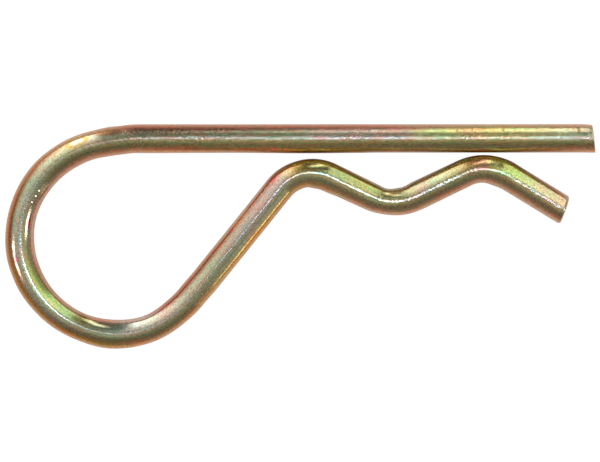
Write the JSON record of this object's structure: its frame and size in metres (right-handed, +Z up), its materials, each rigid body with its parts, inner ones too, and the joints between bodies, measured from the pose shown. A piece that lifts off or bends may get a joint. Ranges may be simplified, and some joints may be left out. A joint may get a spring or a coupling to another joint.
{
  "type": "hairpin cotter pin",
  "caption": "Spring clip bent from round wire: a straight leg for a shaft's cross hole, a round eye to pull it by, and a humped leg that snaps over the shaft.",
  "frame": {"origin": "on the ground, under the middle of the clip's outline, as it lies flat", "axes": "+X along the straight leg, from the eye to the leg's free end; +Y across the clip, from the sprung leg to the straight leg; +Z up, square to the plane of the bends"},
  "size_m": [0.095, 0.036, 0.0045],
  "materials": {
    "zinc_plate": "bright drawn spring steel wire with yellow iridescent zinc plate"
  },
  "bodies": {
    "root": {"hairpin_clip": "zinc_plate"}
  },
  "joints": []
}
